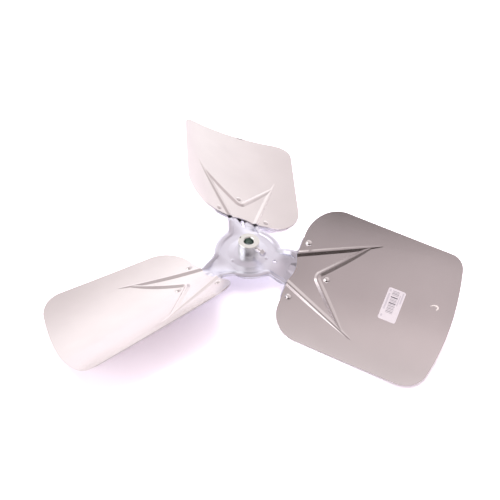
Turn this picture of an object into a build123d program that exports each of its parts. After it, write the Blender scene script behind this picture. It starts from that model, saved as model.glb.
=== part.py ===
from build123d import *
from math import atan2, cos, degrees, radians, sin, sqrt, tan
import os

# Three-blade propeller fan: a stamped steel spider carries three cambered sheet blades on rivets,
# and a turned hub staked into its middle clamps a shaft with one set screw.
# Origin on the bore axis at the spider's hub seat, +Z towards the hub, +X along the first arm.

# Fan
FAN_RADIUS = 279.4
BLADE_NAMES = ("blade_a", "blade_b", "blade_c")

# Blade sheet: pitch about the arm, droop of the tip, camber on a cylinder skewed to the arm
BLADE_THICKNESS = 1.5
BLADE_PITCH = 26.9
BLADE_DROOP = 0.9
CAMBER_RADIUS = 240.0
CAMBER_SKEW = 6.0
SEAT_DROP = 4.6

# Blade outline in the pitched plane, x from the fan axis, y along the chord
ROOT_X = 65.0
HIGH_EDGE_Y = 88.8
LOW_EDGE_Y = -97.2
EDGE_STATION = 170.0
EDGE_SLANT = -3.0
ROOT_HIGH_CORNER = 44.5
ROOT_LOW_CORNER = 41.0
TIP_HIGH_CORNER = 20.0
TIP_LOW_CORNER = 33.0
SCALLOP_HALF_WIDTH = 17.0
SCALLOP_DEPTH = 4.0
SCALLOP_EASE = 6.0

# Stiffening bead of the blade: two legs and a V between them
BEAD_HEIGHT = 2.2
BEAD_HALF_WIDTH = 4.8
BEAD_CREST = 1.0
LEG_ROOT_Y = 21.5
LEG_TIP_X = 168.0
LEG_TIP_Y = 67.0
APEX_X = 97.8
APEX_RADIUS = 8.0
JUNCTION_X = 154.0
BEAD_SINK = 0.3
LEG_MIDDLE_FADE = 0.1
BRANCH_END_FADE = 0.75

# Rivets
INNER_RIVET_X = 74.0
INNER_RIVET_Y = 39.2
MIDDLE_RIVET_X = 113.1
RIVET_RADIUS = 2.4
RIVET_HOLE_CLEARANCE = 0.1
RIVET_HEAD_RADIUS = 4.5
RIVET_HEAD_HEIGHT = 2.2
RIVET_TAIL_RADIUS = 3.9
RIVET_TAIL_HEIGHT = 1.5
RIVET_SEAT_GAP = 0.05

# Spider
SPIDER_THICKNESS = 2.0
SPIDER_RIM = 46.3
BOSS_RADIUS = 19.0
BOSS_FOOT = 28.0
BOSS_HEIGHT = 2.0
TWIST_START = 33.0
TWIST_END = 58.0
TWIST_STEPS = 6
TWIST_THINNING = 0.1
TWIST_LAP = 2.0
ARM_HALF_WIDTH = 24.2
WAIST_RADIUS = 8.0
EAR_RADIUS = 11.0
NOSE_RADIUS = 12.0
EAR_CREASE = 4.0
LIP_HEIGHT = 3.0
LIP_HALF_WIDTH = 6.0
LIP_CREST = 1.8
LIP_INSET = 2.8
LIP_RIM_INSET = 4.3
LIP_CORNER = 8.0
LIP_RUN_OUT = 6.0
LIP_ROOT_GAP = 1.5
LIP_RIM_BEND = 42.0
TROUGH_DEPTH = 2.4
TROUGH_HALF_WIDTH = 11.0
TROUGH_CREST = 4.0
TROUGH_END = 96.0
DIMPLE_STATION = 26.0
DIMPLE_RADIUS = 2.6
DIMPLE_HEIGHT = 0.9
PILOT_HOLE_ARM = 0
PILOT_HOLE_STATION = 39.0
PILOT_HOLE_RADIUS = 2.2
PILOT_SLOT_ARM = 1
PILOT_SLOT_START = 52.0
PILOT_SLOT_LENGTH = 18.0
PILOT_SLOT_WIDTH = 5.0

# Hub
HUB_RADIUS = 14.3
HUB_HEIGHT = 20.9
BORE_RADIUS = 6.35
BORE_CHAMFER = 1.3
HUB_CHAMFER = 0.6
SPIGOT_RADIUS = 10.0
SPIGOT_CLEARANCE = 0.1
STAKE_RADIUS = 12.0
STAKE_HEIGHT = 1.6

# Set screw
SCREW_RADIUS = 3.175
SCREW_HOLE_CLEARANCE = 0.1
SCREW_HEIGHT = 14.5
SCREW_HEADING = -18.0
SCREW_POINT = 6.6
SCREW_POINT_CHAMFER = 0.9
SCREW_HEAD_START = 22.0
SCREW_HEAD_LENGTH = 5.8
SCREW_HEAD_WIDTH = 6.6
SCREW_HEAD_ROLL = 20.0
SCREW_CROWN_BASE = 4.95
SCREW_CROWN_TOP = 3.65

# Paper label on the first blade
LABEL_WIDTH = 23.0
LABEL_LENGTH = 44.5
LABEL_THICKNESS = 0.12
LABEL_CORNER = 2.5
LABEL_X = 203.3
LABEL_Y = -3.9
LABEL_TURN = -2.6

# Values that follow from the sizes above
BLADE_COUNT = len(BLADE_NAMES)
ARM_STEP = 360 / BLADE_COUNT
WEB_TOP = -BOSS_HEIGHT
DIMPLE_BALL = (DIMPLE_RADIUS ** 2 + DIMPLE_HEIGHT ** 2) / (2 * DIMPLE_HEIGHT)
PRISM_HALF = 120.0
TIP_ROUNDS = 8
UP = Vector(0, 0, 1)


def arm_turn(index):
    """Turn about the fan axis that carries the first arm to the given one."""
    return Rot(0, 0, index * ARM_STEP)


def blade_frame():
    """Place of the first blade's pitched plane, with x still measured from the fan axis."""
    seat = Pos(MIDDLE_RIVET_X, 0, -SEAT_DROP)
    return seat * Rot(0, BLADE_DROOP, 0) * Rot(BLADE_PITCH, 0, 0) * Pos(-MIDDLE_RIVET_X, 0, 0)


def camber(x, y):
    """Height of the blade's top face above the pitched plane."""
    skew = radians(CAMBER_SKEW)
    across = y * cos(skew) - (x - MIDDLE_RIVET_X) * sin(skew)
    return CAMBER_RADIUS - sqrt(CAMBER_RADIUS ** 2 - across ** 2)


def on_blade(x, y, lift=0.0):
    """Point of the blade's top face in the pitched plane's frame, raised by lift."""
    return Vector(x, y, camber(x, y) + lift)


def to_fan(point):
    """Point of the pitched plane's frame seen from the fan's frame, on the first arm."""
    return (blade_frame() * Pos(point)).position


def cambered_sheet(depth, thickness):
    """Endless sheet on the camber cylinder, its top face depth below the blade's top face."""
    inner = CAMBER_RADIUS + depth
    length = 4 * FAN_RADIUS
    tube = Cylinder(inner + thickness, length) - Cylinder(inner, length)
    along = Pos(MIDDLE_RIVET_X, 0, CAMBER_RADIUS) * Rot(0, 0, CAMBER_SKEW) * Rot(0, 90, 0) * Rot(0, 0, 180)
    return along * tube


def prism(sketch):
    """Upright prism on a plane outline, tall enough to pass through every sheet."""
    return extrude(sketch, amount=PRISM_HALF, both=True)


def rounded(sketch, corners):
    """Outline with each listed corner rounded to its radius."""
    for x, y, radius in corners:
        corner = sketch.vertices().sort_by_distance((x, y, 0))[0]
        sketch = fillet(corner, radius)
    return sketch


def edge_y(station_y, x):
    """Chordwise place of a slanted side edge of the blade at x."""
    return station_y + (x - EDGE_STATION) * tan(radians(EDGE_SLANT))


def tip_x(y):
    """Reach of the blade along the arm at y, where its top face meets the fan's radius."""
    x = FAN_RADIUS
    for _ in range(TIP_ROUNDS):
        point = to_fan(on_blade(x, y))
        x += FAN_RADIUS - sqrt(point.X ** 2 + point.Y ** 2)
    return x


def tip_corner(station_y):
    """Corner of a side edge and the tip arc."""
    x = FAN_RADIUS
    for _ in range(TIP_ROUNDS):
        x = tip_x(edge_y(station_y, x))
    return x, edge_y(station_y, x)


def blade_outline():
    """Flat outline of the blade: slanted sides, tip arc about the fan axis, scalloped root."""
    root_high = (ROOT_X, edge_y(HIGH_EDGE_Y, ROOT_X))
    root_low = (ROOT_X, edge_y(LOW_EDGE_Y, ROOT_X))
    tip_high = tip_corner(HIGH_EDGE_Y)
    tip_low = tip_corner(LOW_EDGE_Y)
    middle_y = (tip_high[1] + tip_low[1]) / 2
    scallop_high = (ROOT_X, SCALLOP_HALF_WIDTH)
    scallop_low = (ROOT_X, -SCALLOP_HALF_WIDTH)
    edges = [
        Line(root_high, tip_high),
        ThreePointArc(tip_high, (tip_x(middle_y), middle_y), tip_low),
        Line(tip_low, root_low),
        Line(root_low, scallop_low),
        ThreePointArc(scallop_low, (ROOT_X + SCALLOP_DEPTH, 0), scallop_high),
        Line(scallop_high, root_high),
    ]
    return rounded(make_face(edges), [
        (*root_high, ROOT_HIGH_CORNER),
        (*root_low, ROOT_LOW_CORNER),
        (*tip_high, TIP_HIGH_CORNER),
        (*tip_low, TIP_LOW_CORNER),
        (*scallop_high, SCALLOP_EASE),
        (*scallop_low, SCALLOP_EASE),
    ])


def roof_section(height, half_width, crest, skirt):
    """Closed section of a pressed ridge: two flanks and a narrow flat crest, on a straight skirt."""
    return make_face(Polyline((-half_width, 0), (-crest, height), (crest, height), (half_width, 0),
                              (half_width, -skirt), (-half_width, -skirt), close=True))


def swept_bead(path, section, drop, side=UP):
    """Bead along a path, standing to the given side, its foot dropped the other way off the path."""
    shift = -side * drop
    ahead = path % 0
    plane = Plane(origin=path @ 0 + shift, x_dir=side.cross(ahead), z_dir=ahead)
    return sweep(plane * section, path=path.moved(Pos(shift)))


def bead_line(start, end, end_fade):
    """Arc on the blade's top face between two plane places, sunk towards its end where the bead fades out."""
    gone = -BEAD_HEIGHT * end_fade
    middle = ((start[0] + end[0]) / 2, (start[1] + end[1]) / 2)
    return on_blade(*start), on_blade(*middle, LEG_MIDDLE_FADE * gone), on_blade(*end, gone)


def blade_bead_paths():
    """Centre lines of the blade's bead on its top face: two legs and the V between them."""
    slope = (LEG_TIP_Y - LEG_ROOT_Y) / (LEG_TIP_X - ROOT_X)
    junction_y = LEG_ROOT_Y + slope * (JUNCTION_X - ROOT_X)
    lean = atan2(junction_y, JUNCTION_X - APEX_X)
    bend = APEX_RADIUS / tan(lean)
    bend_x = APEX_X + bend * cos(lean)
    bend_y = bend * sin(lean)
    top_x = APEX_X + APEX_RADIUS / sin(lean) - APEX_RADIUS
    start_x = ROOT_X - BEAD_HALF_WIDTH
    start_y = LEG_ROOT_Y - slope * BEAD_HALF_WIDTH
    legs = []
    branches = []
    for side in (1, -1):
        leg = bead_line((start_x, side * start_y), (LEG_TIP_X, side * LEG_TIP_Y), 1)
        legs.append(Wire([ThreePointArc(*leg).edge()]))
        branches.append(bead_line((bend_x, side * bend_y), (JUNCTION_X, side * junction_y), BRANCH_END_FADE))
    inward = ThreePointArc(*branches[0][::-1])
    apex = ThreePointArc(on_blade(bend_x, bend_y), on_blade(top_x, 0), on_blade(bend_x, -bend_y))
    outward = ThreePointArc(*branches[1])
    return [*legs, Wire([inward.edge(), apex.edge(), outward.edge()])]


def rivet_places():
    """Plane places of a blade's three rivets."""
    return [(INNER_RIVET_X, INNER_RIVET_Y), (MIDDLE_RIVET_X, 0), (INNER_RIVET_X, -INNER_RIVET_Y)]


def rivet_frame(x, y):
    """Place of a rivet on the blade's top face, its axis square to the sheet."""
    skew = radians(CAMBER_SKEW)
    across = y * cos(skew) - (x - MIDDLE_RIVET_X) * sin(skew)
    lean = atan2(across, CAMBER_RADIUS - camber(x, y))
    return Pos(on_blade(x, y)) * Rot(0, 0, CAMBER_SKEW) * Rot(degrees(lean), 0, 0)


def rivet_holes():
    """Cutters for the rivet holes of one arm."""
    cutter = Cylinder(RIVET_RADIUS + RIVET_HOLE_CLEARANCE, 4 * (BLADE_THICKNESS + SPIDER_THICKNESS))
    return [rivet_frame(x, y) * cutter for x, y in rivet_places()]


def make_blade():
    """First blade in the pitched plane's frame."""
    height = BEAD_HEIGHT + BEAD_SINK
    ridge = roof_section(height, BEAD_HALF_WIDTH, BEAD_CREST, BLADE_THICKNESS / 2)
    groove = roof_section(height, BEAD_HALF_WIDTH, BEAD_CREST, BLADE_THICKNESS)
    paths = blade_bead_paths()
    outline = prism(blade_outline())
    sheet = cambered_sheet(0, BLADE_THICKNESS) & outline
    above = cambered_sheet(-2 * BEAD_HEIGHT, 2 * BEAD_HEIGHT + BLADE_THICKNESS / 2)
    for path in paths:
        sheet += swept_bead(path, ridge, BEAD_SINK) & above
    for path in paths:
        sheet -= swept_bead(path, groove, BEAD_SINK + BLADE_THICKNESS)
    sheet = sheet & outline
    return sheet - rivet_holes()


def make_rivet():
    """Domed rivet on the blade's top face, its tail upset under the spider's pad."""
    grip = BLADE_THICKNESS + SPIDER_THICKNESS
    ball = (RIVET_HEAD_RADIUS ** 2 + RIVET_HEAD_HEIGHT ** 2) / (2 * RIVET_HEAD_HEIGHT)
    head = Pos(0, 0, RIVET_HEAD_HEIGHT - ball) * Sphere(ball)
    slab = Pos(0, 0, RIVET_HEAD_HEIGHT / 2) * Cylinder(2 * RIVET_HEAD_RADIUS, RIVET_HEAD_HEIGHT)
    tail = Pos(0, 0, -grip - RIVET_TAIL_HEIGHT / 2) * Cylinder(RIVET_TAIL_RADIUS, RIVET_TAIL_HEIGHT)
    tail = chamfer(tail.edges().group_by(Axis.Z)[0], RIVET_TAIL_HEIGHT / 2)
    raised = Pos(0, 0, RIVET_SEAT_GAP)
    stem = Pos(0, 0, -grip / 2 + RIVET_SEAT_GAP / 2) * Cylinder(RIVET_RADIUS, grip + RIVET_SEAT_GAP)
    return raised * (head & slab) + stem + tail


def web_point(x, y, depth):
    """Point of the arm between the flat web and the pitched pad, depth below its top face."""
    part = min(max((x - TWIST_START) / (TWIST_END - TWIST_START), 0), 1)
    blend = part * part * (3 - 2 * part)
    flat = Vector(x, y, WEB_TOP - depth)
    pitched = to_fan(on_blade(x, y, -BLADE_THICKNESS - depth))
    return flat + (pitched - flat) * blend


def arm_section(x, half_width):
    """Section of the twisting arm at x."""
    sides = [-half_width, -half_width / 2, 0, half_width / 2, half_width]
    top = [web_point(x, y, TWIST_THINNING) for y in sides]
    bottom = [web_point(x, y, SPIDER_THICKNESS - TWIST_THINNING) for y in sides]
    edges = [Spline(*top), Line(top[-1], bottom[-1]), Spline(*bottom[::-1]), Line(bottom[0], top[0])]
    return Wire(edges)


def make_arm():
    """Twisting arm from the flat web to the pitched pad, wider than its outline."""
    half_width = sqrt(SPIDER_RIM ** 2 - TWIST_START ** 2) + LIP_INSET
    start = TWIST_START - TWIST_LAP
    reach = TWIST_END + TWIST_LAP - start
    stations = [start + reach * i / TWIST_STEPS for i in range(TWIST_STEPS + 1)]
    return Solid.make_loft([arm_section(x, half_width) for x in stations])


def pad_outline():
    """Outline of the pad under a blade: arm root, two ears and a nose around the rivets."""
    ears = [Pos(INNER_RIVET_X, side * INNER_RIVET_Y) * Circle(EAR_RADIUS) for side in (1, -1)]
    nose = Pos(MIDDLE_RIVET_X, 0) * Circle(NOSE_RADIUS)
    hull = make_hull([edge for shape in (*ears, nose) for edge in shape.edges()])
    reach = INNER_RIVET_X - TWIST_END
    root = Pos(TWIST_END + reach / 2, 0) * Rectangle(reach, 2 * ARM_HALF_WIDTH)
    crease_x = INNER_RIVET_X - EAR_RADIUS
    return rounded(hull + root, [(crease_x, side * ARM_HALF_WIDTH, EAR_CREASE) for side in (1, -1)])


def arm_edge(x, side):
    """Plane point of the arm's edge at x, seen along the fan axis."""
    point = web_point(x, side * ARM_HALF_WIDTH, 0)
    return point.X, point.Y


def spider_outline():
    """Outline of the disc and the arms, seen along the fan axis, with rounded waists."""
    shape = Sketch() + Circle(SPIDER_RIM)
    waists = []
    for index in range(BLADE_COUNT):
        corners = [arm_edge(0, -1), arm_edge(TWIST_START, -1), arm_edge(TWIST_END, -1),
                   arm_edge(INNER_RIVET_X, -1), arm_edge(INNER_RIVET_X, 1), arm_edge(TWIST_END, 1),
                   arm_edge(TWIST_START, 1), arm_edge(0, 1)]
        shape += arm_turn(index) * make_face(Polyline(*corners, close=True))
        waist_x = sqrt(SPIDER_RIM ** 2 - ARM_HALF_WIDTH ** 2)
        for side in (1, -1):
            place = (arm_turn(index) * Pos(waist_x, side * ARM_HALF_WIDTH)).position
            waists.append((place.X, place.Y, WAIST_RADIUS))
    return rounded(shape, waists)


def lip_path():
    """Crest line of the raised lip from the first arm, around the rim, to the next arm."""
    crest_y = ARM_HALF_WIDTH - LIP_INSET
    crest_rim = SPIDER_RIM - LIP_RIM_INSET
    bend = radians(LIP_RIM_BEND)
    corner_x = (crest_rim - crest_y * sin(bend)) / cos(bend)
    middle = radians(ARM_STEP / 2)
    middle_radius = crest_rim / cos(middle - bend)
    sunk = UP * (LIP_HEIGHT + BEAD_SINK)
    end_x = ROOT_X - LIP_ROOT_GAP
    full_x = end_x - LIP_RUN_OUT

    def side_points(side):
        corner = web_point(corner_x, side * crest_y, 0)
        corner.Z = min(corner.Z, WEB_TOP)
        return [web_point(end_x, side * crest_y, 0) - sunk, web_point(full_x, side * crest_y, 0),
                web_point((full_x + corner_x) / 2, side * crest_y, 0), corner]

    here = side_points(1)
    there = [(arm_turn(1) * Pos(point)).position for point in side_points(-1)]
    crown = Vector(middle_radius * cos(middle), middle_radius * sin(middle), WEB_TOP)
    corners = [LIP_CORNER] * (len(here) - 1)
    return FilletPolyline(*here, crown, *there[::-1], radius=[*corners, crest_rim, *corners])


def trough_path():
    """Floor line of the shallow trough along the pad, rising out of it at both ends."""
    top = -BLADE_THICKNESS
    return ThreePointArc(
        on_blade(TWIST_END, 0, top + TROUGH_DEPTH),
        on_blade((TWIST_END + TROUGH_END) / 2, 0, top),
        on_blade(TROUGH_END, 0, top + TROUGH_DEPTH),
    )


def make_pad():
    """Pitched pad under the first blade, with a trough pressed along its middle."""
    pad = cambered_sheet(BLADE_THICKNESS, SPIDER_THICKNESS) & prism(pad_outline())
    path = trough_path()
    height = TROUGH_DEPTH + BEAD_SINK
    floor = roof_section(height, TROUGH_HALF_WIDTH, TROUGH_CREST, SPIDER_THICKNESS / 2)
    hollow = roof_section(height, TROUGH_HALF_WIDTH, TROUGH_CREST, TROUGH_DEPTH)
    under = cambered_sheet(BLADE_THICKNESS, SPIDER_THICKNESS + 2 * TROUGH_DEPTH)
    pad += swept_bead(path, floor, BEAD_SINK - SPIDER_THICKNESS, -UP) & under
    pad -= swept_bead(path, hollow, BEAD_SINK, -UP)
    return blade_frame() * pad


def dimple_frame(index):
    """Centre of the ball that forms the small dimple on an arm's line beside the hub seat."""
    slope = (DIMPLE_STATION - BOSS_RADIUS) / (BOSS_FOOT - BOSS_RADIUS)
    return arm_turn(index) * Pos(DIMPLE_STATION, 0, slope * WEB_TOP + DIMPLE_HEIGHT - DIMPLE_BALL)


def press_dimples(sheet):
    """Sheet with a dimple pressed up through it on each arm's line."""
    above = Pos(0, 0, 2 * DIMPLE_BALL - DIMPLE_HEIGHT - SPIDER_THICKNESS / 2)
    lying = Rot(90, 0, 0)
    cap = lying * Sphere(DIMPLE_BALL) & above * Box(2 * DIMPLE_BALL, 2 * DIMPLE_BALL, 2 * DIMPLE_BALL)
    dent = lying * Sphere(DIMPLE_BALL - SPIDER_THICKNESS)
    for index in range(BLADE_COUNT):
        sheet += dimple_frame(index) * cap
        sheet -= dimple_frame(index) * dent
    return sheet


def pilot_cutters():
    """Round pilot hole in one arm and radial pilot slot in another, which locate the stamping."""
    hole = Pos(PILOT_HOLE_STATION, 0, 0) * Cylinder(PILOT_HOLE_RADIUS, PRISM_HALF)
    slot_x = PILOT_SLOT_START + PILOT_SLOT_LENGTH / 2
    slot = Pos(slot_x, 0, 0) * prism(SlotOverall(PILOT_SLOT_LENGTH, PILOT_SLOT_WIDTH))
    return [arm_turn(PILOT_HOLE_ARM) * hole, arm_turn(PILOT_SLOT_ARM) * slot]


def make_disc():
    """Middle of the spider: raised hub seat, soft step and flat web, up to where the arms start."""
    top = [(0, 0), (BOSS_RADIUS, 0), (BOSS_FOOT, WEB_TOP), (SPIDER_RIM, WEB_TOP)]
    bottom = [(x, z - SPIDER_THICKNESS) for x, z in top[::-1]]
    section = make_face(Polyline(*top, *bottom, close=True))
    disc = revolve(Plane.XZ * section, Axis.Z)
    for index in range(BLADE_COUNT):
        beyond = Pos(TWIST_START + SPIDER_RIM, 0, 0) * Box(2 * SPIDER_RIM, 4 * SPIDER_RIM, 4 * SPIDER_RIM)
        disc -= arm_turn(index) * beyond
    return disc


def sector_outline():
    """Plan sector between the centre lines of two neighbouring arms."""
    far = 2 * PRISM_HALF
    step = radians(ARM_STEP)
    corner = (2 * far * cos(step / 2), 2 * far * sin(step / 2))
    return make_face(Polyline((0, 0), (far, 0), corner, (far * cos(step), far * sin(step)), close=True))


def make_sector():
    """One sector of the spider: half of two neighbouring arms and the raised lip between them."""
    outline = prism(spider_outline())
    pad = make_pad()
    arm = make_arm()
    sheet = make_disc()
    for index in (0, 1):
        sheet += arm_turn(index) * arm & outline
        sheet += arm_turn(index) * pad
    height = LIP_HEIGHT + BEAD_SINK
    ridge = roof_section(height, LIP_HALF_WIDTH, LIP_CREST, SPIDER_THICKNESS / 2)
    sheet += swept_bead(lip_path(), ridge, BEAD_SINK) & outline
    return sheet & prism(sector_outline())


def make_spider():
    """Stamped spider: dished disc, three twisting arms with pads, and a raised lip between arms."""
    sector = make_sector()
    spider = Part()
    for index in range(BLADE_COUNT):
        spider += arm_turn(index) * sector
    spider = press_dimples(spider)
    for index in range(BLADE_COUNT):
        spider -= [arm_turn(index) * blade_frame() * hole for hole in rivet_holes()]
    spider -= pilot_cutters()
    return spider - Cylinder(SPIGOT_RADIUS + SPIGOT_CLEARANCE, PRISM_HALF)


def make_hub():
    """Turned hub on the spider's seat, its spigot staked underneath, bored and cross-drilled."""
    stake_z = -SPIDER_THICKNESS - STAKE_HEIGHT
    profile = [(BORE_RADIUS, stake_z), (STAKE_RADIUS, stake_z), (STAKE_RADIUS, -SPIDER_THICKNESS),
               (SPIGOT_RADIUS, -SPIDER_THICKNESS), (SPIGOT_RADIUS, 0), (HUB_RADIUS, 0),
               (HUB_RADIUS, HUB_HEIGHT), (BORE_RADIUS, HUB_HEIGHT)]
    section = make_face(Polyline(*profile, close=True))
    bevels = ((profile[-1], BORE_CHAMFER), (profile[-2], HUB_CHAMFER), (profile[1], STAKE_HEIGHT / 2))
    for place, size in bevels:
        section = chamfer(section.vertices().sort_by_distance((*place, 0))[0], size)
    body = revolve(Plane.XZ * section, Axis.Z)
    reach = 2 * HUB_RADIUS
    drill = screw_frame() * Pos(0, 0, reach / 2) * Cylinder(SCREW_RADIUS + SCREW_HOLE_CLEARANCE, reach)
    return body - drill


def screw_frame():
    """Place of the set screw's axis, from the bore axis outwards."""
    return Rot(0, 0, SCREW_HEADING) * Pos(0, 0, SCREW_HEIGHT) * Rot(0, 90, 0)


def make_screw():
    """Square-head set screw, its point just short of the bore."""
    length = SCREW_HEAD_START - SCREW_POINT
    shank = Pos(0, 0, SCREW_POINT + length / 2) * Cylinder(SCREW_RADIUS, length)
    shank = chamfer(shank.edges().group_by(Axis.Z)[0], SCREW_POINT_CHAMFER)
    head = Rot(0, 0, SCREW_HEAD_ROLL) * Box(SCREW_HEAD_WIDTH, SCREW_HEAD_WIDTH, SCREW_HEAD_LENGTH)
    crown = Cone(SCREW_CROWN_BASE, SCREW_CROWN_TOP, SCREW_HEAD_LENGTH)
    head = Pos(0, 0, SCREW_HEAD_START + SCREW_HEAD_LENGTH / 2) * (head & crown)
    return screw_frame() * (shank + head)


def make_label():
    """Paper label lying on the blade's top face."""
    paper = RectangleRounded(LABEL_WIDTH, LABEL_LENGTH, LABEL_CORNER)
    outline = Pos(LABEL_X, LABEL_Y) * Rot(0, 0, LABEL_TURN) * paper
    return cambered_sheet(-LABEL_THICKNESS, LABEL_THICKNESS) & prism(outline)


def export(shape, node):
    """Writes one node as a STEP file."""
    export_step(shape, f"parts/{node}.step")


os.makedirs("parts", exist_ok=True)
blade = blade_frame() * make_blade()
rivet = make_rivet()
rivets = []
for index, node in enumerate(BLADE_NAMES):
    export(arm_turn(index) * blade, node)
    rivets += [arm_turn(index) * blade_frame() * rivet_frame(x, y) * rivet for x, y in rivet_places()]
export(make_spider(), "spider")
export(make_hub(), "hub")
export(make_screw(), "set_screw")
export(Compound(rivets), "rivets")
export(blade_frame() * make_label(), "label")
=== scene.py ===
import math

import bmesh
import bpy
from mathutils import Matrix, Quaternion, Vector


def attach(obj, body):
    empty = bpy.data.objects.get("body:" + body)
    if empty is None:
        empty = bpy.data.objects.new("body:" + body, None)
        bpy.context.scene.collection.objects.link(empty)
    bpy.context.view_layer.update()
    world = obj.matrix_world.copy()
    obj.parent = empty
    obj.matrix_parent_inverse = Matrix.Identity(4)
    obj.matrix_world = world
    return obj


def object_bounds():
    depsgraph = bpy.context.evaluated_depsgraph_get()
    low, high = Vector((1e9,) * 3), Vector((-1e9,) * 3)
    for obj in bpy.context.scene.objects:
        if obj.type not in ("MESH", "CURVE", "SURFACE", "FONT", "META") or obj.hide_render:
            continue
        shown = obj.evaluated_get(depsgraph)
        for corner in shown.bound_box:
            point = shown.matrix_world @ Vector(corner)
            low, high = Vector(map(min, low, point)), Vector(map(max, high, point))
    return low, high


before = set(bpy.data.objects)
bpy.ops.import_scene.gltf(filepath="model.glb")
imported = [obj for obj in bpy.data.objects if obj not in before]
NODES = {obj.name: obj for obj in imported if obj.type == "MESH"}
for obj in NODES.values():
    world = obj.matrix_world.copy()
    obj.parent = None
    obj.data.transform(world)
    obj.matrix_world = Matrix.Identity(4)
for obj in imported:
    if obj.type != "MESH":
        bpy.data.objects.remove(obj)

CAD_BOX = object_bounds()
MM = 0.001

# Sizes shared with the solids, in millimetres and degrees
SEAT_DROP = 4.6
MIDDLE_RIVET_X = 113.1
BLADE_PITCH = 26.9
BLADE_DROOP = 0.9
CAMBER_RADIUS = 240.0
CAMBER_SKEW = 6.0
LABEL_PLACE = (203.3, -3.9)
LABEL_TURN = -2.6
LABEL_THICKNESS = 0.12
ARM_STEP = 120.0
BORE_RADIUS = 6.35
BORE_MARGIN = 0.1

# Camera of the photograph
CAMERA_TURN = 20.83
CAMERA_RISE = 46.665
CAMERA_DISTANCE = 813.9
CAMERA_ROLL = 3.005
PHOTO_WIDTH = 500
FOCAL_SHARE = 592.3 / PHOTO_WIDTH
AIM_OFFSET = (1.844 / PHOTO_WIDTH, 3.613 / PHOTO_WIDTH)
FLOOR_GAP = 0.2


def blade_frame(index):
    """Pitched plane of a blade in the row frame, in millimetres."""
    turn = Matrix.Rotation(math.radians(ARM_STEP * index), 4, "Z")
    seat = Matrix.Translation((MIDDLE_RIVET_X, 0, -SEAT_DROP))
    droop = Matrix.Rotation(math.radians(BLADE_DROOP), 4, "Y")
    pitch = Matrix.Rotation(math.radians(BLADE_PITCH), 4, "X")
    return turn @ seat @ droop @ pitch @ Matrix.Translation((-MIDDLE_RIVET_X, 0, 0))


def on_blade(index, x, y, lift):
    """Point on a blade's top face in metres, raised by lift."""
    skew = math.radians(CAMBER_SKEW)
    across = y * math.cos(skew) - (x - MIDDLE_RIVET_X) * math.sin(skew)
    height = CAMBER_RADIUS - math.sqrt(CAMBER_RADIUS ** 2 - across ** 2)
    return blade_frame(index) @ Vector((x, y, height + lift)) * MM


# Material nodes
GRAIN_DEPTH = 0.0004
GLOSS_BELOW = 0.05
GLOSS_ABOVE = 0.07
EDGE_SAMPLES = 6
FIBRE_SCALE = 900.0
FIBRE_SHADE = 0.95
FIBRE_GLOSS = (0.5, 0.62)
FIBRE_RELIEF = 0.05
FIBRE_DEPTH = 0.0001


def new_material(name):
    """Empty node material with its output and a Principled shader."""
    material = bpy.data.materials.new(name)
    material.use_nodes = True
    tree = material.node_tree
    tree.nodes.clear()
    out = tree.nodes.new("ShaderNodeOutputMaterial")
    shader = tree.nodes.new("ShaderNodeBsdfPrincipled")
    tree.links.new(shader.outputs["BSDF"], out.inputs["Surface"])
    return material, tree, shader


def placed_coordinates(tree, turn, stretch):
    """Row-frame coordinates turned about Z and stretched, so that a grain runs one way."""
    coordinates = tree.nodes.new("ShaderNodeTexCoord")
    mapping = tree.nodes.new("ShaderNodeMapping")
    mapping.vector_type = "TEXTURE"
    mapping.inputs["Rotation"].default_value = (0, 0, math.radians(turn))
    mapping.inputs["Scale"].default_value = stretch
    tree.links.new(coordinates.outputs["Object"], mapping.inputs["Vector"])
    return mapping.outputs["Vector"]


def noise(tree, vector, scale, detail=3.0, roughness=0.55):
    """Noise value on given coordinates."""
    node = tree.nodes.new("ShaderNodeTexNoise")
    node.inputs["Scale"].default_value = scale
    node.inputs["Detail"].default_value = detail
    node.inputs["Roughness"].default_value = roughness
    tree.links.new(vector, node.inputs["Vector"])
    return node.outputs["Fac"]


def ramp(tree, value, stops):
    """Colour ramp over a value."""
    node = tree.nodes.new("ShaderNodeValToRGB")
    elements = node.color_ramp.elements
    while len(elements) < len(stops):
        elements.new(0.5)
    for element, (place, colour) in zip(elements, stops):
        element.position = place
        element.color = (*colour, 1)
    tree.links.new(value, node.inputs["Fac"])
    return node.outputs["Color"]


def spread(tree, value, low, high):
    """Value from 0 to 1 spread over a new range."""
    node = tree.nodes.new("ShaderNodeMapRange")
    node.inputs["To Min"].default_value = low
    node.inputs["To Max"].default_value = high
    tree.links.new(value, node.inputs["Value"])
    return node.outputs["Result"]


def bump(tree, shader, height, strength, distance, normal=None):
    """Fine relief on a shader, over an earlier normal where one is given."""
    node = tree.nodes.new("ShaderNodeBump")
    node.inputs["Strength"].default_value = strength
    node.inputs["Distance"].default_value = distance
    tree.links.new(height, node.inputs["Height"])
    if normal:
        tree.links.new(normal, node.inputs["Normal"])
    tree.links.new(node.outputs["Normal"], shader.inputs["Normal"])


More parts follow.
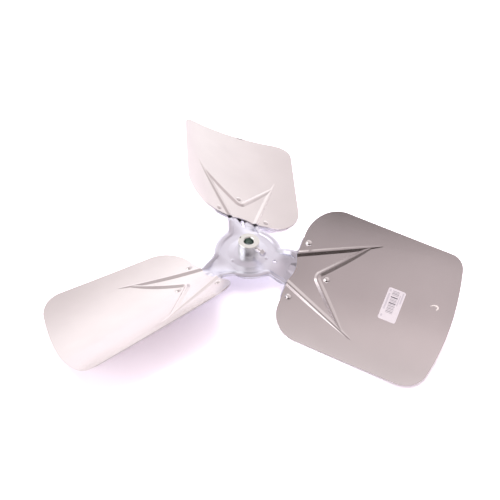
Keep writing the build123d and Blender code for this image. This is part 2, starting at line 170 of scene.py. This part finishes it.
def metal(name, dark, light, roughness, relief, soft, turn=0.0, stretch=(1, 1, 1), cloud=14.0, grain=260.0):
    """Bare or plated metal: clouded colour, a grain in its gloss, a fine relief and edges softened in mm."""
    material, tree, shader = new_material(name)
    even = placed_coordinates(tree, turn, (1, 1, 1))
    drawn = placed_coordinates(tree, turn, stretch)
    clouds = noise(tree, even, cloud, 4.0)
    grains = noise(tree, drawn, grain, 3.0, 0.7)
    tree.links.new(ramp(tree, clouds, [(0.3, dark), (0.7, light)]), shader.inputs["Base Color"])
    gloss = spread(tree, grains, roughness - GLOSS_BELOW, roughness + GLOSS_ABOVE)
    tree.links.new(gloss, shader.inputs["Roughness"])
    shader.inputs["Metallic"].default_value = 1.0
    normal = None
    if soft:
        edge = tree.nodes.new("ShaderNodeBevel")
        edge.samples = EDGE_SAMPLES
        edge.inputs["Radius"].default_value = soft * MM
        normal = edge.outputs["Normal"]
    bump(tree, shader, grains, relief, GRAIN_DEPTH, normal)
    return material


def paint_shade_within(material, radius, colour):
    """Paints shade on a metal inside a radius about the fan axis, darkening the bore's wall."""
    tree = material.node_tree
    shader = [node for node in tree.nodes if node.type == "BSDF_PRINCIPLED"][0]
    unshaded_colour = shader.inputs["Base Color"].links[0].from_socket
    coordinates = tree.nodes.new("ShaderNodeTexCoord")
    flat = tree.nodes.new("ShaderNodeVectorMath")
    flat.operation = "MULTIPLY"
    flat.inputs[1].default_value = (1, 1, 0)
    tree.links.new(coordinates.outputs["Object"], flat.inputs[0])
    length = tree.nodes.new("ShaderNodeVectorMath")
    length.operation = "LENGTH"
    tree.links.new(flat.outputs["Vector"], length.inputs[0])
    inside = tree.nodes.new("ShaderNodeMath")
    inside.operation = "LESS_THAN"
    inside.inputs[1].default_value = (radius + BORE_MARGIN) * MM
    tree.links.new(length.outputs["Value"], inside.inputs[0])
    mix = tree.nodes.new("ShaderNodeMix")
    mix.data_type = "RGBA"
    mix.inputs[7].default_value = (*colour, 1)
    tree.links.new(inside.outputs["Value"], mix.inputs["Factor"])
    tree.links.new(unshaded_colour, mix.inputs[6])
    tree.links.new(mix.outputs[2], shader.inputs["Base Color"])


def paper(name, colour):
    """Matt surface with faint fibres, for paper, ink and scraped spots."""
    material, tree, shader = new_material(name)
    even = placed_coordinates(tree, 0, (1, 1, 1))
    fibres = noise(tree, even, FIBRE_SCALE, 4.0)
    shade = tuple(FIBRE_SHADE * c for c in colour)
    tree.links.new(ramp(tree, fibres, [(0.35, shade), (0.65, colour)]), shader.inputs["Base Color"])
    tree.links.new(spread(tree, fibres, *FIBRE_GLOSS), shader.inputs["Roughness"])
    bump(tree, shader, fibres, FIBRE_RELIEF, FIBRE_DEPTH)
    return material


def dress(node, material):
    """Gives a CAD node its material."""
    mesh = NODES[node].data
    mesh.materials.clear()
    mesh.materials.append(material)


for index, node in enumerate(("blade_a", "blade_b", "blade_c")):
    dress(node, metal("aluminium_" + node, (0.79, 0.765, 0.765), (0.84, 0.815, 0.815), 0.21,
                      turn=ARM_STEP * index, stretch=(30, 1, 1), grain=1600.0, relief=0.004, soft=0.0))
dress("spider", metal("zinc_spider", (0.80, 0.82, 0.92), (0.86, 0.88, 0.98), 0.32,
                      relief=0.002, soft=2.0, cloud=40.0))
hub_metal = metal("zinc_hub", (0.85, 0.89, 0.85), (0.92, 0.95, 0.92), 0.22, stretch=(20, 20, 1),
                  grain=2400.0, relief=0.01, soft=0.3)
# Painted shade: the bore's wall is coloured darker than the rest of the hub
paint_shade_within(hub_metal, BORE_RADIUS, (0.42, 0.52, 0.45))
dress("hub", hub_metal)
screw_metal = metal("zinc_screw", (0.84, 0.84, 0.88), (0.92, 0.92, 0.96), 0.18,
                    relief=0.008, soft=0.3, cloud=120.0)
dress("set_screw", screw_metal)
dress("rivets", metal("rivet_metal", (0.86, 0.85, 0.85), (0.93, 0.92, 0.92), 0.13,
                      relief=0.004, soft=0.3, cloud=200.0))
dress("label", paper("label_paper", (0.84, 0.80, 0.85)))


def add_piece(name, points, faces, material):
    """Mesh piece in metres that rides with the part."""
    mesh = bpy.data.meshes.new(name)
    mesh.from_pydata(points, [], faces)
    shape = bmesh.new()
    shape.from_mesh(mesh)
    bmesh.ops.recalc_face_normals(shape, faces=shape.faces)
    shape.to_mesh(mesh)
    shape.free()
    mesh.materials.append(material)
    piece = bpy.data.objects.new(name, mesh)
    bpy.context.scene.collection.objects.link(piece)
    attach(piece, "root")


def loft(sections, points, faces):
    """Adds a closed skin over equal section loops to a piece's points and faces."""
    first = len(points)
    count = len(sections[0])
    for section in sections:
        points.extend(section)
    for row in range(len(sections) - 1):
        start = first + row * count
        for i in range(count):
            j = (i + 1) % count
            faces.append((start + i, start + j, start + count + j, start + count + i))
    faces.append(tuple(range(first, first + count)))
    faces.append(tuple(range(len(points) - count, len(points))))


# Print on the label: generic bars and pale fields, in the label's own frame
PRINT_LIFT = 0.03
PRINT_ROOT = 0.06
BAR_LEFT = -5.2
BAR_RIGHT = 3.8
BARS_DARK = ((10.6, 1.5), (2.4, 1.3))
BARS_PALE = ((19.0, 0.8), (17.3, 0.7), (15.6, 1.3), (13.6, 0.7), (8.2, 0.6), (6.4, 1.0), (4.6, 0.6),
             (0.6, 0.7), (-1.4, 1.2), (-3.4, 0.6), (-5.2, 1.1), (-7.2, 0.7), (-9.2, 1.2), (-11.0, 0.6))
FIELDS = ((-9.4, -7.2, 16.8, 20.0), (-9.4, -7.2, -8.0, 14.6), (7.6, 9.4, 5.0, 20.0), (5.0, 6.4, 1.0, 16.0),
          (-9.4, -7.2, -18.6, -15.2))
FIELD_STEPS = 8


def on_label(u, v, lift):
    """Point on the label, u across it and v along it from its middle."""
    turn = math.radians(LABEL_TURN)
    x = LABEL_PLACE[0] + u * math.cos(turn) - v * math.sin(turn)
    y = LABEL_PLACE[1] + u * math.sin(turn) + v * math.cos(turn)
    return on_blade(0, x, y, LABEL_THICKNESS + lift)


def print_fields(name, fields, material):
    """Thin printed fields on the label, each given by its sides."""
    points = []
    faces = []
    for left, right, low, high in fields:
        sections = []
        for i in range(FIELD_STEPS + 1):
            v = low + (high - low) * i / FIELD_STEPS
            sections.append([on_label(left, v, -PRINT_ROOT), on_label(right, v, -PRINT_ROOT),
                             on_label(right, v, PRINT_LIFT), on_label(left, v, PRINT_LIFT)])
        loft(sections, points, faces)
    add_piece(name, points, faces, material)


def bar_fields(bars):
    """Sides of the bars across the label, from their places along it and their widths."""
    return [(BAR_LEFT, BAR_RIGHT, place - width / 2, place + width / 2) for place, width in bars]


print_fields("label_bars_dark", bar_fields(BARS_DARK), paper("ink_dark", (0.13, 0.12, 0.15)))
print_fields("label_bars_pale", bar_fields(BARS_PALE), paper("ink_grey", (0.42, 0.40, 0.44)))
print_fields("label_fields", FIELDS, paper("ink_pale", (0.66, 0.63, 0.69)))

# Thread on the set screw's open length
SCREW_HEADING = -18.0
SCREW_HEIGHT = 14.5
THREAD_START = 14.9
THREAD_END = 21.7
THREAD_PITCH = 1.27
THREAD_ROOT = 3.1
THREAD_CREST = 3.42
THREAD_HALF_WIDTH = 0.5
THREAD_STEPS = 20
THREAD_SINK = 0.2
points = []
faces = []
sections = []
turns = (THREAD_END - THREAD_START) / THREAD_PITCH
count = int(turns * THREAD_STEPS)
heading = Matrix.Rotation(math.radians(SCREW_HEADING), 4, "Z")
for i in range(count + 1):
    angle = 2 * math.pi * turns * i / count
    along = THREAD_START + (THREAD_END - THREAD_START) * i / count
    fade = min(1.0, 2 * i / THREAD_STEPS, 2 * (count - i) / THREAD_STEPS)
    crest = THREAD_ROOT + (THREAD_CREST - THREAD_ROOT) * fade
    loop = ((-THREAD_HALF_WIDTH, THREAD_ROOT), (0, crest), (THREAD_HALF_WIDTH, THREAD_ROOT),
            (0, THREAD_ROOT - THREAD_SINK))
    section = []
    for offset, radius in loop:
        spot = Vector((along + offset, radius * math.cos(angle), SCREW_HEIGHT + radius * math.sin(angle)))
        section.append(heading @ spot * MM)
    sections.append(section)
loft(sections, points, faces)
add_piece("screw_thread", points, faces, screw_metal)

# Marks: a bright scuff on the first blade, a dark-coloured mark on the second blade's tip and one on the
# hub's end
SCUFF = ((248.6, 11.7), (252.2, 13.9), (255.3, 14.5), (257.8, 13.6), (258.6, 11.9), (257.9, 10.2),
         (256.9, 8.9))
SCUFF_HALF_WIDTH = 1.15
SCUFF_HEIGHT = 0.3
TIP_DARK_MARK = ((276.8, -15.5), (276.6, -21.0), (276.1, -27.0))
TIP_DARK_MARK_HALF_WIDTH = 1.7
HUB_DARK_MARK = ((-12.6, -0.9), (-12.8, 0.9), (-12.6, 2.5))
HUB_DARK_MARK_HALF_WIDTH = 0.8
HUB_TOP = 20.9
DARK_MARK_HEIGHT = 0.12
MARK_STEPS = 6
MARK_END_SHARE = 0.25
MARK_SWELL = 0.7


def smooth_line(corners, steps):
    """Points on a soft curve through the corners."""
    line = []
    last = len(corners) - 1
    for k in range(last):
        a, b, c, d = (Vector(corners[min(max(k + o, 0), last)]) for o in (-1, 0, 1, 2))
        for i in range(steps):
            t = i / steps
            line.append(0.5 * (2 * b + (c - a) * t + (2 * a - 5 * b + 4 * c - d) * t * t
                               + (3 * b - a - 3 * c + d) * t ** 3))
    line.append(Vector(corners[last]))
    return line


def on_first_blade(x, y, lift):
    """Point on the first blade's top face."""
    return on_blade(0, x, y, lift)


def on_second_blade(x, y, lift):
    """Point on the second blade's top face."""
    return on_blade(1, x, y, lift)


def on_hub_end(x, y, lift):
    """Point on the hub's flat end."""
    return Vector((x, y, HUB_TOP + lift)) * MM


def scratch(name, surface, corners, half_width, height, material):
    """Raised burr along a curve on a surface, thin at both ends."""
    line = smooth_line(corners, MARK_STEPS)
    sections = []
    for i, place in enumerate(line):
        ahead = (line[min(i + 1, len(line) - 1)] - line[max(i - 1, 0)]).normalized()
        side = Vector((-ahead.y, ahead.x))
        share = i / (len(line) - 1)
        swell = math.sin(math.pi * share) ** MARK_SWELL
        width = half_width * (MARK_END_SHARE + (1 - MARK_END_SHARE) * swell)
        sections.append([surface(*(place - side * width), 0.0), surface(*place, -height),
                         surface(*(place + side * width), 0.0), surface(*place, height)])
    points = []
    faces = []
    loft(sections, points, faces)
    add_piece(name, points, faces, material)


scratch("scuff", on_first_blade, SCUFF, SCUFF_HALF_WIDTH, SCUFF_HEIGHT,
        paper("scuffed_aluminium", (0.95, 0.90, 0.88)))
scratch("tip_dark_mark", on_second_blade, TIP_DARK_MARK, TIP_DARK_MARK_HALF_WIDTH, DARK_MARK_HEIGHT,
        paper("dark_mark_aluminium", (0.24, 0.21, 0.21)))
scratch("hub_dark_mark", on_hub_end, HUB_DARK_MARK, HUB_DARK_MARK_HALF_WIDTH, DARK_MARK_HEIGHT,
        paper("dark_mark_steel", (0.12, 0.13, 0.12)))

# Floor: pale to the object, white to the camera where light reaches it, darker in the shadow
FLOOR_SIZE = 8
FLOOR_TONE = (0.84, 0.81, 0.83, 1)
FLOOR_TONE_SEEN = (1.95, 1.93, 2.08, 1)
FLOOR_MIRRORED_SHARE = 0.15
bpy.ops.mesh.primitive_plane_add(size=FLOOR_SIZE, location=(0, 0, CAD_BOX[0][2] - FLOOR_GAP * MM))
floor = bpy.context.object
floor.name = "floor"
material, tree, shader = new_material("floor_white")
shader.inputs["Roughness"].default_value = 0.9
shader.inputs["Specular IOR Level"].default_value = 0.2
path = tree.nodes.new("ShaderNodeLightPath")
tone = tree.nodes.new("ShaderNodeMix")
tone.data_type = "RGBA"
tone.inputs[6].default_value = FLOOR_TONE
tone.inputs[7].default_value = FLOOR_TONE_SEEN
mirrored = tree.nodes.new("ShaderNodeMath")
mirrored.operation = "MULTIPLY_ADD"
mirrored.use_clamp = True
mirrored.inputs[1].default_value = FLOOR_MIRRORED_SHARE
tree.links.new(path.outputs["Is Glossy Ray"], mirrored.inputs[0])
tree.links.new(path.outputs["Is Camera Ray"], mirrored.inputs[2])
tree.links.new(mirrored.outputs["Value"], tone.inputs["Factor"])
tree.links.new(tone.outputs[2], shader.inputs["Base Color"])
floor.data.materials.append(material)

# Studio surroundings: bright behind the object and dim on the viewer's side, with three lit panels
BACKDROP_DIP = 10.0
BACKDROP_STOPS = (
    (0.0125, (0.05, 0.038, 0.035)),
    (0.065, (0.12, 0.096, 0.093)),
    (0.143, (0.23, 0.195, 0.20)),
    (0.366, (0.255, 0.213, 0.218)),
    (0.555, (0.62, 0.54, 0.545)),
    (0.85, (1.02, 0.93, 0.935)),
    (0.98, (1.24, 1.17, 1.18)),
)
UNLIT = (0.0, 0.0, 0.0)
PANELS = (
    ((0.5, -0.2, 0.84), ((0.83, UNLIT), (0.94, (0.38, 0.332, 0.336)))),
    ((-0.6, 0.8, 0.05), ((0.88, UNLIT), (0.98, (0.15, 0.145, 0.148)))),
    ((-0.66, -0.585, 0.456), ((0.925, UNLIT), (0.955, (1.5, 1.42, 1.43)))),
)
world = bpy.data.worlds.new("studio")
bpy.context.scene.world = world
world.use_nodes = True
tree = world.node_tree
tree.nodes.clear()
out = tree.nodes.new("ShaderNodeOutputWorld")


def glow_along(direction, stops):
    """Background light graded along a direction, from the far side (0) to the direction itself (1)."""
    coordinates = tree.nodes.new("ShaderNodeTexCoord")
    dot = tree.nodes.new("ShaderNodeVectorMath")
    dot.operation = "DOT_PRODUCT"
    dot.inputs[1].default_value = Vector(direction).normalized()
    tree.links.new(coordinates.outputs["Generated"], dot.inputs[0])
    scaled = tree.nodes.new("ShaderNodeMapRange")
    scaled.inputs["From Min"].default_value = -1.0
    scaled.inputs["From Max"].default_value = 1.0
    tree.links.new(dot.outputs["Value"], scaled.inputs["Value"])
    background = tree.nodes.new("ShaderNodeBackground")
    tree.links.new(ramp(tree, scaled.outputs["Result"], stops), background.inputs["Color"])
    return background.outputs["Background"]


behind = math.radians(CAMERA_TURN)
dip = math.radians(BACKDROP_DIP)
level = math.cos(dip)
light = glow_along((-math.sin(behind) * level, math.cos(behind) * level, -math.sin(dip)), BACKDROP_STOPS)
for direction, stops in PANELS:
    together = tree.nodes.new("ShaderNodeAddShader")
    tree.links.new(light, together.inputs[0])
    tree.links.new(glow_along(direction, stops), together.inputs[1])
    light = together.outputs["Shader"]
# White to the camera, graded light to everything else
white = tree.nodes.new("ShaderNodeBackground")
white.inputs["Color"].default_value = (1, 1, 1, 1)
path = tree.nodes.new("ShaderNodeLightPath")
shown = tree.nodes.new("ShaderNodeMixShader")
tree.links.new(path.outputs["Is Camera Ray"], shown.inputs["Fac"])
tree.links.new(light, shown.inputs[1])
tree.links.new(white.outputs["Background"], shown.inputs[2])
tree.links.new(shown.outputs["Shader"], out.inputs["Surface"])


def lamp(name, place, size, power, colour):
    """Square soft box aimed at the object, left out of its mirrored surroundings."""
    data = bpy.data.lights.new(name, "AREA")
    data.shape = "SQUARE"
    data.size = size
    data.energy = power
    data.color = colour
    obj = bpy.data.objects.new(name, data)
    obj.location = place
    obj.rotation_euler = (-Vector(place)).to_track_quat("-Z", "Y").to_euler()
    bpy.context.scene.collection.objects.link(obj)
    obj.visible_glossy = False


LAMP_PLACE = (-0.55, 0.45, 2.1)
LAMP_SIZE = 2.0
LAMP_POWER = 34.0
LAMP_COLOUR = (1.0, 0.98, 0.97)
lamp("soft_box", LAMP_PLACE, LAMP_SIZE, LAMP_POWER, LAMP_COLOUR)

# Camera
SENSOR_WIDTH = 36.0
data = bpy.data.cameras.new("camera")
data.sensor_width = SENSOR_WIDTH
data.lens = SENSOR_WIDTH * FOCAL_SHARE
data.shift_x = AIM_OFFSET[0]
data.shift_y = AIM_OFFSET[1]
data.clip_start = 0.01
camera = bpy.data.objects.new("camera", data)
bpy.context.scene.collection.objects.link(camera)
turn = math.radians(CAMERA_TURN)
rise = math.radians(CAMERA_RISE)
aim = Vector((0, 0, -SEAT_DROP)) * MM
away = Vector((math.sin(turn) * math.cos(rise), -math.cos(turn) * math.cos(rise), math.sin(rise)))
camera.location = aim + away * CAMERA_DISTANCE * MM
camera.rotation_mode = "QUATERNION"
upright = (-away).to_track_quat("-Z", "Y")
camera.rotation_quaternion = upright @ Quaternion((0, 0, 1), math.radians(CAMERA_ROLL))
bpy.context.scene.camera = camera

bpy.context.scene.view_settings.view_transform = "Standard"
